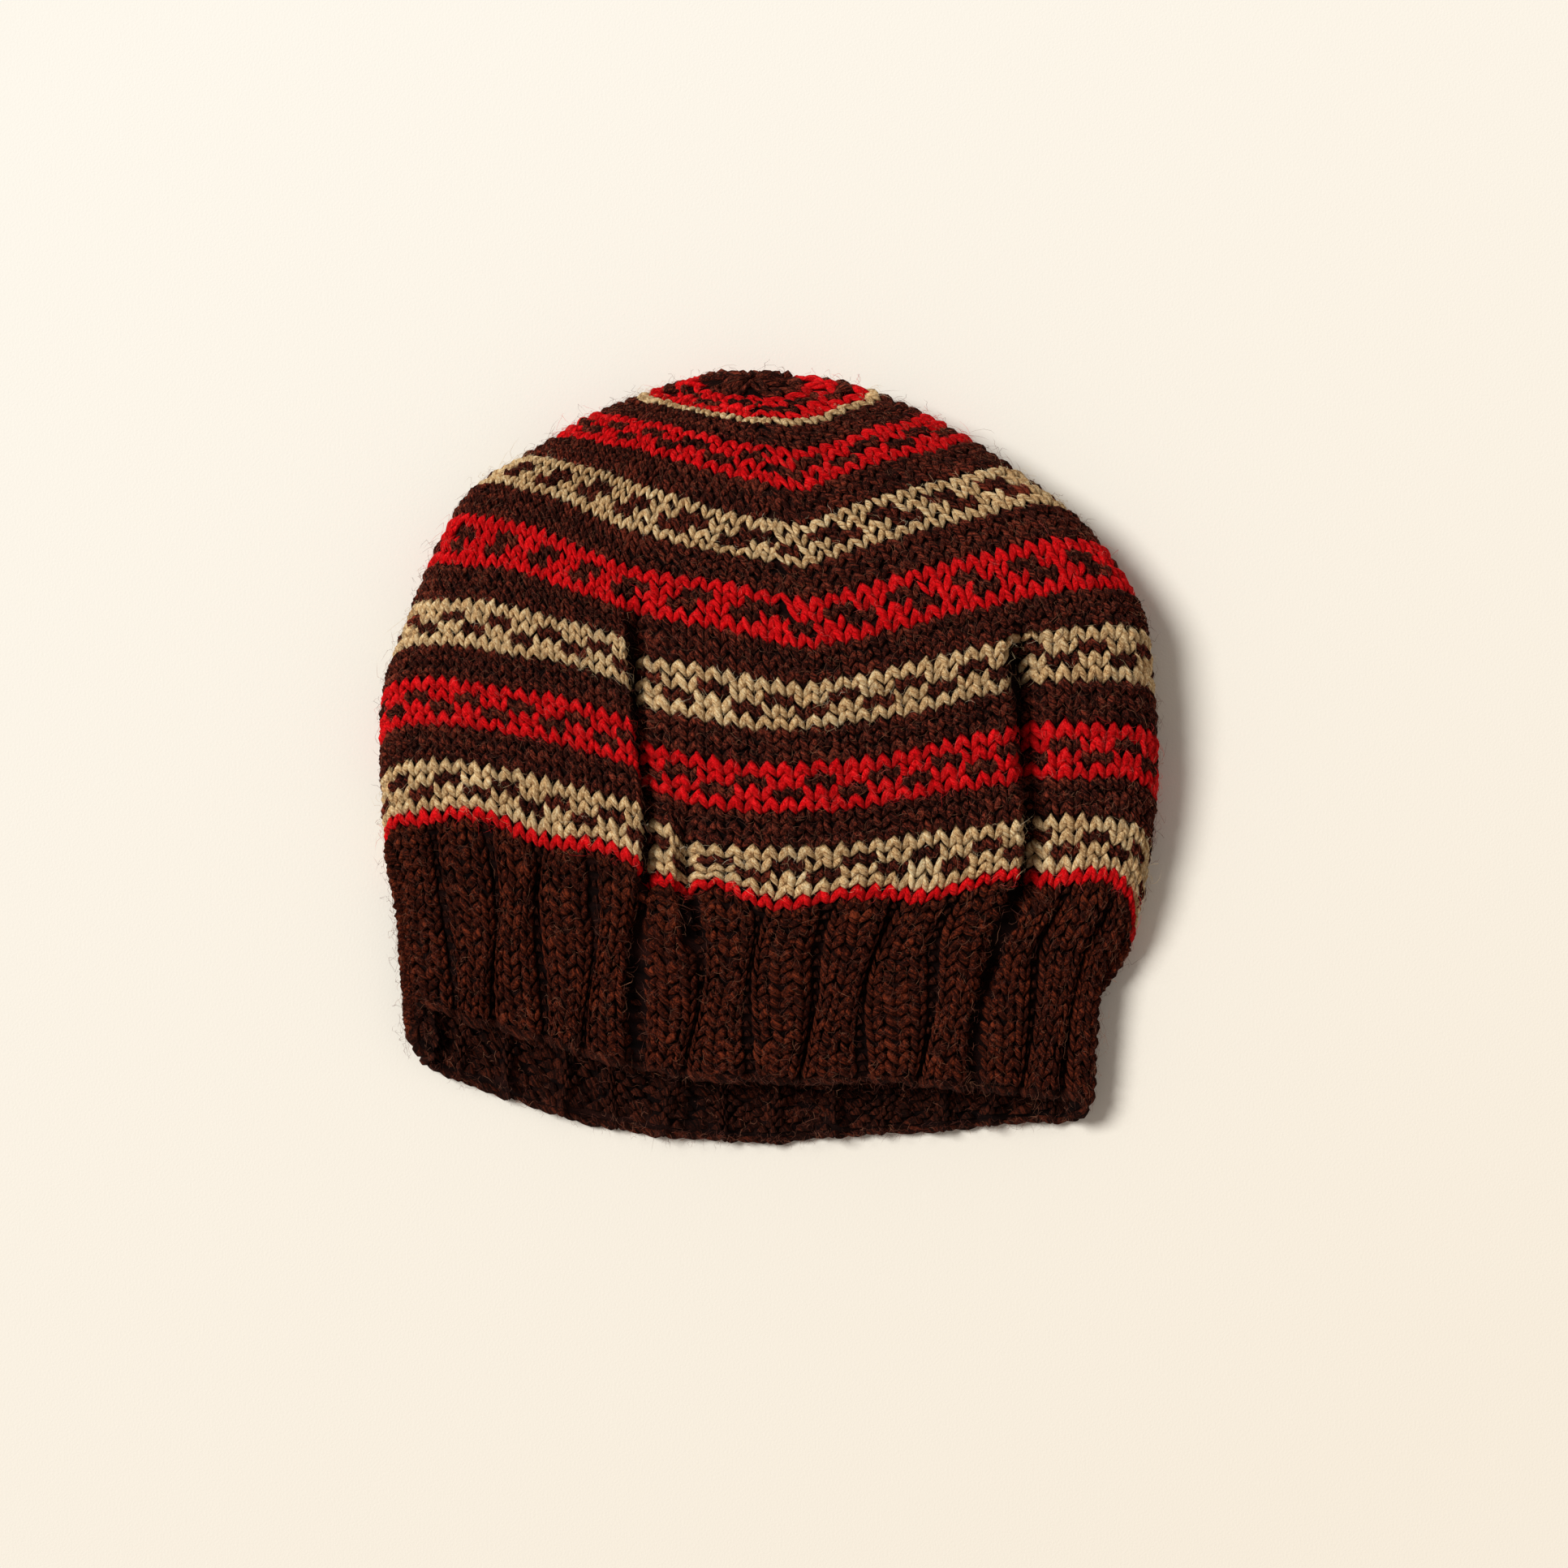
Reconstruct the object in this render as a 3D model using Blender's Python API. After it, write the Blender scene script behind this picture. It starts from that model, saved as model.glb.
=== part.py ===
"""A knitted wool cap lying on its back: a ribbed band and a puffed crown.

The cap is knitted in the round from the rim to the tip. It is modelled as it lies:
the back layer is flat on the surface, the front layer stands up over it, and the
crown end is round. +X is to the right of the front, +Y points from the rim to the
tip and +Z points up. One row of the section table describes one round of knitting.
"""
import bmesh
import bpy
import numpy as np

# Driving dimensions in metres
WIDTH = 0.228
LENGTH = 0.2266
HEIGHT = 0.051
WALL = 0.003
RIB_RELIEF = 0.0018
PIECE_GAP = 0.0003

# Counts of the knitting
STITCHES = 112
STITCHES_PER_RIB = 4
RIM_ROW = -16
JOIN_ROW = -0.5
TIP_ROW = 50

# Sections of the cap, a row for each round that shapes it.
# left, right: sides of the round from the middle, as shares of WIDTH
# front: middle of the front layer above the back rim, as a share of LENGTH
# rise_left, rise_right: how much higher the front runs at its sides, shares of LENGTH
# drop_left, drop_right: how much lower the back layer runs, shares of LENGTH
# belly: how much further its middle hangs down, a share of LENGTH
# apex: where the front is lowest (-1 to 1)
# bend, ease: 1 for a V or 2 for a U there, and how early the sides reach their rise
# top, edge, under: height of the front, of the sides and of the back, shares of HEIGHT
# round: width of the rounded lower edge, as a share of half the section
# turn: how sharply the round turns down at the sides
SECTION_COLUMNS = (
    "row", "left", "right", "front", "rise_left", "rise_right", "drop_left", "drop_right", "belly",
    "apex", "bend", "ease", "top", "edge", "under", "round", "turn",
)
SECTIONS = (
    (-16, -0.471, 0.414, 0.078, 0.113, -0.018, 0.085, 0.032, 0.02, 0.0, 1.7, 0.0, 0.41, 0.22, 0.0, 0.11, 3.0),
    (-6, -0.483, 0.427, 0.226, 0.103, 0.023, 0.082, 0.068, 0.01, 0.06, 1.8, 1.0, 0.57, 0.24, 0.0, 0.12, 3.0),
    (0, -0.499, 0.473, 0.317, 0.097, 0.038, 0.076, 0.095, 0.0, 0.10, 1.9, 1.9, 0.71, 0.27, 0.0, 0.12, 3.0),
    (10, -0.500, 0.500, 0.468, 0.102, 0.061, 0.065, 0.065, 0.0, 0.09, 1.8, 1.8, 0.92, 0.29, 0.0, 0.13, 3.0),
    (19, -0.460, 0.483, 0.601, 0.114, 0.083, 0.055, 0.055, 0.0, 0.08, 1.5, 1.2, 1.0, 0.29, 0.0, 0.14, 3.0),
    (27, -0.401, 0.408, 0.723, 0.122, 0.090, 0.044, 0.048, 0.0, 0.09, 1.2, 0.6, 0.93, 0.31, 0.0, 0.20, 2.5),
    (34, -0.301, 0.290, 0.821, 0.088, 0.077, 0.021, 0.021, 0.0, 0.15, 1.1, 0.3, 0.80, 0.33, 0.0, 0.32, 2.0),
    (40, -0.214, 0.188, 0.897, 0.050, 0.048, -0.005, -0.005, 0.0, 0.22, 1.2, 0.3, 0.68, 0.35, 0.0, 0.55, 1.5),
    (45, -0.131, 0.096, 0.946, 0.017, 0.019, -0.029, -0.029, 0.0, 0.30, 1.4, 0.2, 0.55, 0.37, 0.10, 1.0, 1.0),
    (48, -0.086, 0.037, 0.968, 0.006, 0.006, -0.030, -0.030, 0.0, 0.20, 1.6, 0.0, 0.47, 0.39, 0.22, 1.0, 1.0),
    (50, -0.026, -0.026, 0.991, 0.0, 0.0, 0.0, 0.0, 0.0, 0.0, 2.0, 0.0, 0.41, 0.41, 0.41, 1.0, 1.0),
)

# Folds of the front layer, a row for each.
# at_rim, at_join, at_body, at_top: where it runs across the section (-1 to 1)
# first, deepest, last: rows where it starts, is deepest and ends
# depth: share of HEIGHT; reach: half its width, a share of WIDTH
# step: how much higher the rounds run on its outer side, a share of LENGTH
# lip: how much its left shoulder stands up, a share of HEIGHT
FOLD_COLUMNS = (
    "name", "at_rim", "at_join", "at_body", "at_top", "first", "deepest", "last",
    "depth", "reach", "step", "lip",
)
FOLDS = (
    ("left_fold", -0.34, -0.30, -0.33, -0.45, -22, 5, 25, 0.17, 0.024, 0.018, 0.05),
    ("small_crease", -0.19, -0.18, -0.20, -0.24, -8, 1, 7, 0.05, 0.016, 0.000, 0.00),
    ("right_fold", 0.66, 0.69, 0.63, 0.61, -20, 4, 20, 0.15, 0.022, -0.010, 0.02),
)
FOLD_ROWS = (RIM_ROW, 0, 10, 25)

# Stitches that lie at the sides and in the two long folds, counted from the back middle
EDGE_RIGHT_STITCH = 31
RIGHT_FOLD_STITCH = 42
LEFT_FOLD_STITCH = 66
EDGE_LEFT_STITCH = 87

# Rounds at which the surface is sampled
CROWN_ROUNDS = (JOIN_ROW, 2, 5, 8, 11, 14, 17, 20, 23, 26, 29.5, 33, 36.5, 40, 43, 46, 48.5, TIP_ROW)
BAND_SPACES = 8
FINE_SPACES = 1440
BESIDE_TIP = 0.5

# How the forms run into each other
HEIGHT_FOLLOWS_FROM = 8
HEIGHT_FOLLOWS_FULLY = 22
FOLDS_FADE_AT_SIDES = 4.0
LIP_REACHES = 3.0
VALLEY_REACH_STITCHES = 1.5
RIB_FADE_ROWS = 2.5

# Steps for taking directions off the surface, and points nearer than this are one
NORMAL_ROW_STEP = 0.5
NORMAL_ANGLE_STEP = 0.02
MERGE_DISTANCE = 1e-6

# Colours of the wool, linear
BROWN_WOOL = (0.045, 0.014, 0.008, 1.0)
STRIPED_WOOL = (0.16, 0.03, 0.02, 1.0)
WOOL_ROUGHNESS = 0.95


def monotone_curve(knots, values, at):
    """Smooth curve through rows of values at the knots that never overshoots them."""
    knots = np.asarray(knots, dtype=float)
    values = np.asarray(values, dtype=float)
    steps = np.diff(knots)
    slopes = np.diff(values, axis=0) / steps.reshape((-1,) + (1,) * (values.ndim - 1))
    before = slopes[:-1]
    after = slopes[1:]
    same_way = before * after > 0
    mean = 2 * before * after / np.where(same_way, before + after, 1.0)
    tangents = np.concatenate([slopes[:1], np.where(same_way, mean, 0.0), slopes[-1:]])
    at = np.clip(at, knots[0], knots[-1])
    k = np.clip(np.searchsorted(knots, at, side="right") - 1, 0, len(steps) - 1)
    s = (at - knots[k]) / steps[k]
    rise = values[k + 1] - values[k]
    start = tangents[k] * steps[k]
    end = tangents[k + 1] * steps[k]
    return values[k] + s * start + s * s * (3 * rise - 2 * start - end) + s ** 3 * (start + end - 2 * rise)


def section(row):
    """All columns of the section table at a round of knitting."""
    table = np.array(SECTIONS)
    return dict(zip(SECTION_COLUMNS, monotone_curve(table[:, 0], table, row)))


def top_share(front):
    """Height of the front layer's middle at shares of the length."""
    table = np.array(SECTIONS)
    fronts = table[:, SECTION_COLUMNS.index("front")]
    tops = table[:, SECTION_COLUMNS.index("top")]
    return monotone_curve(fronts, tops, front)


def share_between(value, start, end):
    """0 at the start, 1 at the end and beyond."""
    return min(max((value - start) / (end - start), 0.0), 1.0)


def fold_strength(fold, row):
    """0 where a fold starts and ends, 1 where it is deepest."""
    nearer_end = fold["first"] if row < fold["deepest"] else fold["last"]
    s = share_between(row, nearer_end, fold["deepest"])
    return s * s * (3 - 2 * s)


def fold_place(fold, row):
    """Where a fold runs across the section, -1 to 1."""
    places = (fold["at_rim"], fold["at_join"], fold["at_body"], fold["at_top"])
    return monotone_curve(FOLD_ROWS, places, row)


def folds():
    """The folds of the front layer, each with its columns by name."""
    return [dict(zip(FOLD_COLUMNS, line)) for line in FOLDS]


def flat_layers(row, angles):
    """Points of one round without its folds, for angles 0 (right) to pi (left) to 2 pi."""
    s = section(row)
    middle = (s["left"] + s["right"]) / 2
    half = (s["right"] - s["left"]) / 2
    across = np.cos(angles)
    in_front = np.sin(angles) >= 0
    from_apex = np.where(
        across < s["apex"],
        (s["apex"] - across) / (1 + s["apex"]),
        (across - s["apex"]) / (1 - s["apex"]),
    )
    from_apex = np.clip(from_apex, 0, 1)
    rise = np.where(across < s["apex"], s["rise_left"], s["rise_right"])
    front = s["front"] + rise * from_apex ** s["bend"] * (1 + s["ease"] * (1 - from_apex))
    for fold in folds():
        reach = fold["reach"] / max(half, fold["reach"])
        place = fold_place(fold, row)
        outer_side = (1 + np.tanh((across - place) / reach * np.sign(place))) / 2
        front = front + fold["step"] * fold_strength(fold, row) * outer_side
    inward = (1 - np.abs(across)) / s["round"]
    under_curve = np.sqrt(1 - (1 - np.clip(inward, 0, 1)) ** 2)
    side = np.where(in_front, np.sin(angles), -under_curve)
    weight = (1 + np.tanh(s["turn"] * side) / np.tanh(s["turn"])) / 2
    drop = s["drop_left"] + (s["drop_right"] - s["drop_left"]) * (1 + across) / 2
    drop = drop + s["belly"] * (1 - across ** 2)
    follow = share_between(row, HEIGHT_FOLLOWS_FROM, HEIGHT_FOLLOWS_FULLY)
    heights = top_share(s["front"] + follow * (front - s["front"]))
    z_front = s["edge"] + (heights - s["edge"]) * side
    z_back = s["edge"] + (s["edge"] - s["under"]) * side
    x = (middle + half * across) * WIDTH
    y = (front - (1 - weight) * drop - 0.5) * LENGTH
    z = np.where(in_front, z_front, z_back) * HEIGHT
    return np.stack([x, y, z], axis=1)


def outward(row, angles):
    """Outward directions of the unfolded surface along one round."""
    row = min(max(row, RIM_ROW + NORMAL_ROW_STEP), TIP_ROW - NORMAL_ROW_STEP - BESIDE_TIP)
    ahead = flat_layers(row + NORMAL_ROW_STEP, angles)
    behind = flat_layers(row - NORMAL_ROW_STEP, angles)
    along = ahead - behind
    left = flat_layers(row, angles + NORMAL_ANGLE_STEP)
    right = flat_layers(row, angles - NORMAL_ANGLE_STEP)
    around = left - right
    normal = np.cross(along, around)
    return normal / np.linalg.norm(normal, axis=1)[:, None]


def round_points(row, angles, depth, relief):
    """Points of one round at a depth below the fabric's face, with its folds."""
    points = flat_layers(row, angles)
    normals = outward(row, angles)
    if row >= TIP_ROW:
        normals[:] = normals.mean(axis=0) / np.linalg.norm(normals.mean(axis=0))
    points = points - normals * (depth + relief)[:, None]
    s = section(row)
    half = (s["right"] - s["left"]) / 2
    across = np.cos(angles)
    front = np.clip(np.sin(angles) * FOLDS_FADE_AT_SIDES, 0, 1)
    for fold in folds():
        strength = fold_strength(fold, row)
        away = (across - fold_place(fold, row)) * half * WIDTH
        reach = fold["reach"] * WIDTH + depth
        groove = np.cos(np.clip(away / reach, -1, 1) * np.pi / 2) ** 2
        shoulder = np.clip(-away / (LIP_REACHES * reach), 0, 1)
        lip = np.sin(shoulder * np.pi) ** 2
        change = fold["lip"] * lip - fold["depth"] * groove
        points[:, 2] += front * strength * change * HEIGHT
    return points


def stitch_angles(row):
    """Angle of each stitch along a round, spaced evenly between the sides and folds."""
    fine = np.linspace(0, 2 * np.pi, FINE_SPACES + 1)
    points = round_points(min(row, TIP_ROW - BESIDE_TIP), fine, 0.0, np.zeros_like(fine))
    spaces = np.linalg.norm(np.diff(points, axis=0), axis=1)
    lengths = np.concatenate([[0], np.cumsum(spaces)])
    long_folds = {fold["name"]: fold for fold in folds()}
    right_angle = np.arccos(fold_place(long_folds["right_fold"], row))
    left_angle = np.arccos(fold_place(long_folds["left_fold"], row))
    anchors = (0.0, right_angle, left_angle, np.pi, 2 * np.pi)
    numbers = (
        EDGE_RIGHT_STITCH,
        RIGHT_FOLD_STITCH,
        LEFT_FOLD_STITCH,
        EDGE_LEFT_STITCH,
        EDGE_RIGHT_STITCH + STITCHES,
    )
    anchor_lengths = np.interp(anchors, fine, lengths)
    wanted = np.interp(EDGE_RIGHT_STITCH + np.arange(STITCHES), numbers, anchor_lengths)
    return np.interp(wanted, lengths, fine)


def rib_relief(row):
    """How far each stitch sinks: one stitch of each rib is a valley."""
    stitch = EDGE_RIGHT_STITCH + np.arange(STITCHES)
    half_rib = STITCHES_PER_RIB / 2
    from_valley = np.abs((stitch - RIGHT_FOLD_STITCH + half_rib) % STITCHES_PER_RIB - half_rib)
    valley = np.cos(np.clip(from_valley / VALLEY_REACH_STITCHES, 0, 1) * np.pi / 2) ** 2
    fade = share_between(row, JOIN_ROW, JOIN_ROW - RIB_FADE_ROWS)
    return RIB_RELIEF * valley * fade


def wrapped_sheet(bm, path):
    """A grid wrapped round the cap through (round, depth) places; returns its end loops."""
    rings = []
    for row, depth in path:
        rings.append(round_points(row, stitch_angles(row), depth, rib_relief(row)))
    sheet = bmesh.ops.create_grid(bm, x_segments=STITCHES, y_segments=len(path) - 1, size=1)["verts"]
    ends = ([], [])
    for vert in sheet:
        around = round((vert.co.x + 1) / 2 * STITCHES) % STITCHES
        along = round((vert.co.y + 1) / 2 * (len(path) - 1))
        vert.co = rings[along][around]
        if along in (0, len(path) - 1):
            ends[along > 0].append(vert)
    closing = bmesh.ops.find_doubles(bm, verts=sheet, dist=MERGE_DISTANCE)["targetmap"]
    bmesh.ops.weld_verts(bm, targetmap=closing)
    return [[vert for vert in end if vert.is_valid] for end in ends]


def join_loops(bm, loop_a, loop_b):
    """Close the wall between two open ends of the sheets."""
    verts = set(loop_a) | set(loop_b)
    edges = [edge for edge in bm.edges if edge.is_boundary and set(edge.verts) <= verts]
    bmesh.ops.bridge_loops(bm, edges=edges)


def finish_mesh(name, bm, colour, collection):
    """Turn a closed mesh into a named piece with its own wool material."""
    bmesh.ops.triangulate(bm, faces=bm.faces)
    bmesh.ops.recalc_face_normals(bm, faces=bm.faces)
    mesh = bpy.data.meshes.new(name)
    bm.to_mesh(mesh)
    bm.free()
    mesh.shade_smooth()
    material = bpy.data.materials.new(name + "_wool")
    material.use_nodes = True
    shader = material.node_tree.nodes["Principled BSDF"]
    shader.inputs["Base Color"].default_value = colour
    shader.inputs["Roughness"].default_value = WOOL_ROUGHNESS
    shader.inputs["Metallic"].default_value = 0.0
    mesh.materials.append(material)
    piece = bpy.data.objects.new(name, mesh)
    collection.objects.link(piece)
    return piece


def make_crown(collection):
    """The striped body and its rounded end, closed at the tip and open at the band."""
    bm = bmesh.new()
    outer_end, _ = wrapped_sheet(bm, [(row, 0.0) for row in CROWN_ROUNDS])
    inner_end, _ = wrapped_sheet(bm, [(row, WALL) for row in CROWN_ROUNDS])
    join_loops(bm, outer_end, inner_end)
    return finish_mesh("crown", bm, STRIPED_WOOL, collection)


def rows_for(length, row):
    """How many rounds of knitting fill a length at a place on the cap."""
    ahead = section(row + 1)["front"]
    behind = section(row - 1)["front"]
    return length / ((ahead - behind) / 2 * LENGTH)


def make_rib_band(collection):
    """The ribbed band, with a rounded rim and a small gap below the body."""
    bm = bmesh.new()
    top_row = JOIN_ROW - rows_for(PIECE_GAP, JOIN_ROW)
    first_row = RIM_ROW + rows_for(WALL / 4, RIM_ROW + 1)
    rows = np.linspace(first_row, top_row, BAND_SPACES + 1)
    outer = [(RIM_ROW, WALL / 4)] + [(row, 0.0) for row in rows]
    inner = [(RIM_ROW, 3 * WALL / 4)] + [(row, WALL) for row in rows]
    outer_rim, outer_top = wrapped_sheet(bm, outer)
    inner_rim, inner_top = wrapped_sheet(bm, inner)
    join_loops(bm, outer_rim, inner_rim)
    join_loops(bm, outer_top, inner_top)
    return finish_mesh("rib_band", bm, BROWN_WOOL, collection)


def centre_on_origin(pieces):
    """Put the middle of the cap's box over the origin and its lowest point at zero."""
    corners = np.concatenate([[vert.co[:] for vert in piece.data.vertices] for piece in pieces])
    low = corners.min(axis=0)
    high = corners.max(axis=0)
    middle = ((low[0] + high[0]) / 2, (low[1] + high[1]) / 2, low[2])
    for piece in pieces:
        for vert in piece.data.vertices:
            vert.co.x -= middle[0]
            vert.co.y -= middle[1]
            vert.co.z -= middle[2]
        piece.data.update()


def main():
    """Build the two pieces in an empty scene."""
    for old in list(bpy.data.objects):
        bpy.data.objects.remove(old)
    collection = bpy.data.collections.new("knitted_wool_cap")
    bpy.context.scene.collection.children.link(collection)
    pieces = [make_crown(collection), make_rib_band(collection)]
    centre_on_origin(pieces)


main()
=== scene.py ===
# %% [markdown]
# # A knitted wool cap, lying flat
#
# The cap is knitted in the round, from the ribbed rim up to the tip. Every stitch that
# shows is modelled as a small V of yarn. The V is made once with a few mesh operators,
# repeated with an Array modifier and then laid on the curved surface of the cap, so the
# stripes come from real stitches and not from a picture.
#
# This first cell loads the solid model and keeps its box, which the cap is centred in and set down on.

import math

import bmesh
import bpy
import numpy as np
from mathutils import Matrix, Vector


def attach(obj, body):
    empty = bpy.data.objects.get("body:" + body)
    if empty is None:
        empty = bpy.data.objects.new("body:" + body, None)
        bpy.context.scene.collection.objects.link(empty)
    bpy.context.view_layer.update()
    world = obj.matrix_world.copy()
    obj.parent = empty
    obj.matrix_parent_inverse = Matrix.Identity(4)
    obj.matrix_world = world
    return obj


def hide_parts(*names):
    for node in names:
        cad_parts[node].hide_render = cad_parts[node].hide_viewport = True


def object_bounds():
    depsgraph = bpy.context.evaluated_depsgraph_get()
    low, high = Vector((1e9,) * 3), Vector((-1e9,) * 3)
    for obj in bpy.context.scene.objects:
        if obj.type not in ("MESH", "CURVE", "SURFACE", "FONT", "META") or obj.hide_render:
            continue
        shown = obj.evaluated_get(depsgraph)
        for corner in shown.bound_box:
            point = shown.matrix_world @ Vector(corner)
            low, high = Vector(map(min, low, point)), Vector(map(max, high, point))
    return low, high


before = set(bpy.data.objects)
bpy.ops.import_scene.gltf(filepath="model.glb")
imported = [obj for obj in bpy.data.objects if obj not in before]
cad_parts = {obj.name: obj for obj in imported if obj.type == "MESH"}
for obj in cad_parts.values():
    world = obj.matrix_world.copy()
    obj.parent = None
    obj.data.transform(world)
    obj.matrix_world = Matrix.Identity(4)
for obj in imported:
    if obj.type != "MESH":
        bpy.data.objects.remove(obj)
cad_box = [list(corner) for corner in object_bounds()]
print("solid model, mm:", [round((b - a) * 1000, 1) for a, b in zip(*cad_box)])

# %% [markdown]
# ## The form of the cap
#
# The fabric is one surface. A place on it is a round of knitting, counted from the rim
# (-16) over the top of the band (-0.5) to the tip (50), and a stitch along that round,
# counted from the middle of the back. A table gives the cap's section at a few rounds,
# in shares of its width, length and height, and a second table gives the folds. It is
# the same table that the solid model is built from, so the stitches lie where it is.

# %% Sizes and tables of the form, as in the solid model
WIDTH = 0.228
LENGTH = 0.2266
HEIGHT = 0.051
WALL = 0.003
STITCHES = 112
RIM_ROW = -16
JOIN_ROW = -0.5
TIP_ROW = 50

# Lengths are shares of WIDTH, LENGTH or HEIGHT; apex runs from -1 (left) to 1 (right)
SECTION_COLUMNS = (
    "row", "left", "right", "front", "rise_left", "rise_right", "drop_left", "drop_right", "belly",
    "apex", "bend", "ease", "top", "edge", "under", "round", "turn",
)
SECTIONS = np.array((
    (-16, -0.471, 0.414, 0.078, 0.113, -0.018, 0.085, 0.032, 0.02, 0, 1.7, 0, 0.41, 0.22, 0, 0.11, 3),
    (-6, -0.483, 0.427, 0.226, 0.103, 0.023, 0.082, 0.068, 0.01, 0.06, 1.8, 1, 0.57, 0.24, 0, 0.12, 3),
    (0, -0.499, 0.473, 0.317, 0.097, 0.038, 0.076, 0.095, 0, 0.1, 1.9, 1.9, 0.71, 0.27, 0, 0.12, 3),
    (10, -0.5, 0.5, 0.468, 0.102, 0.061, 0.065, 0.065, 0, 0.09, 1.8, 1.8, 0.92, 0.29, 0, 0.13, 3),
    (19, -0.46, 0.483, 0.601, 0.114, 0.083, 0.055, 0.055, 0, 0.08, 1.5, 1.2, 1, 0.29, 0, 0.14, 3),
    (27, -0.401, 0.408, 0.723, 0.122, 0.09, 0.044, 0.048, 0, 0.09, 1.2, 0.6, 0.93, 0.31, 0, 0.2, 2.5),
    (34, -0.301, 0.29, 0.821, 0.088, 0.077, 0.021, 0.021, 0, 0.15, 1.1, 0.3, 0.8, 0.33, 0, 0.32, 2),
    (40, -0.214, 0.188, 0.897, 0.05, 0.048, -0.005, -0.005, 0, 0.22, 1.2, 0.3, 0.68, 0.35, 0, 0.55, 1.5),
    (45, -0.131, 0.096, 0.946, 0.017, 0.019, -0.029, -0.029, 0, 0.3, 1.4, 0.2, 0.55, 0.37, 0.1, 1, 1),
    (48, -0.086, 0.037, 0.968, 0.006, 0.006, -0.03, -0.03, 0, 0.2, 1.6, 0, 0.47, 0.39, 0.22, 1, 1),
    (50, -0.026, -0.026, 0.991, 0, 0, 0, 0, 0, 0, 2, 0, 0.41, 0.41, 0.41, 1, 1),
))
FOLD_COLUMNS = (
    "name", "at_rim", "at_join", "at_body", "at_top", "first", "deepest", "last",
    "depth", "reach", "step", "lip",
)
FOLDS = (
    ("left_fold", -0.34, -0.30, -0.33, -0.45, -22, 5, 25, 0.17, 0.024, 0.018, 0.05),
    ("small_crease", -0.19, -0.18, -0.20, -0.24, -8, 1, 7, 0.05, 0.016, 0.000, 0.00),
    ("right_fold", 0.66, 0.69, 0.63, 0.61, -20, 4, 20, 0.15, 0.022, -0.010, 0.02),
)
FOLD_ROWS = (RIM_ROW, 0, 10, 25)
EDGE_RIGHT_STITCH = 31
RIGHT_FOLD_STITCH = 42
LEFT_FOLD_STITCH = 66
EDGE_LEFT_STITCH = 87
HEIGHT_FOLLOWS_FROM = 8
HEIGHT_FOLLOWS_FULLY = 22
FOLDS_FADE_AT_SIDES = 4.0
LIP_REACHES = 3.0
STEP_BESIDE_FOLD = 0.9
# Where the stripes slide down or up on the front: round, side from -1 to 1, reach in
# rounds, reach sideways, and the amount as a share of LENGTH
SAGS = (
    (27.0, -0.42, 6.0, 0.26, -0.026),
    (31.0, -0.15, 3.5, 0.20, -0.014),
    (0.0, -0.08, 2.5, 0.08, 0.016),
)

folds = [dict(zip(FOLD_COLUMNS, line)) for line in FOLDS]
print(len(SECTIONS), "sections and", len(folds), "folds")


# %% Smooth curves through the tables
def smooth(share):
    """Soft start and end of a value from 0 to 1."""
    share = np.clip(share, 0, 1)
    return share * share * (3 - 2 * share)


def monotone_curve(knots, values, at):
    """Smooth curve through rows of values at the knots that never overshoots them."""
    knots = np.asarray(knots, dtype=float)
    values = np.asarray(values, dtype=float)
    steps = np.diff(knots)
    slopes = np.diff(values, axis=0) / steps.reshape((-1,) + (1,) * (values.ndim - 1))
    before = slopes[:-1]
    after = slopes[1:]
    same_way = before * after > 0
    mean = 2 * before * after / np.where(same_way, before + after, 1.0)
    tangents = np.concatenate([slopes[:1], np.where(same_way, mean, 0.0), slopes[-1:]])
    at = np.clip(at, knots[0], knots[-1])
    k = np.clip(np.searchsorted(knots, at, side="right") - 1, 0, len(steps) - 1)
    s = (at - knots[k]) / steps[k]
    rise = values[k + 1] - values[k]
    start = tangents[k] * steps[k]
    end = tangents[k + 1] * steps[k]
    square = s * s * (3 * rise - 2 * start - end)
    cube = s ** 3 * (start + end - 2 * rise)
    return values[k] + s * start + square + cube


def section(row):
    """All columns of the section table at a round of knitting."""
    return dict(zip(SECTION_COLUMNS, monotone_curve(SECTIONS[:, 0], SECTIONS, row)))


def share_between(value, start, end):
    """0 at the start, 1 at the end and beyond."""
    return min(max((value - start) / (end - start), 0.0), 1.0)


def fold_strength(fold, row):
    """0 where a fold starts and ends, 1 where it is deepest."""
    nearer_end = fold["first"] if row < fold["deepest"] else fold["last"]
    return smooth(share_between(row, nearer_end, fold["deepest"]))


def fold_place(fold, row):
    """Where a fold runs across the section, -1 to 1."""
    places = (fold["at_rim"], fold["at_join"], fold["at_body"], fold["at_top"])
    return monotone_curve(FOLD_ROWS, places, row)


print("front at round 10:", round(float(section(10)["front"]), 3))


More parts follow.
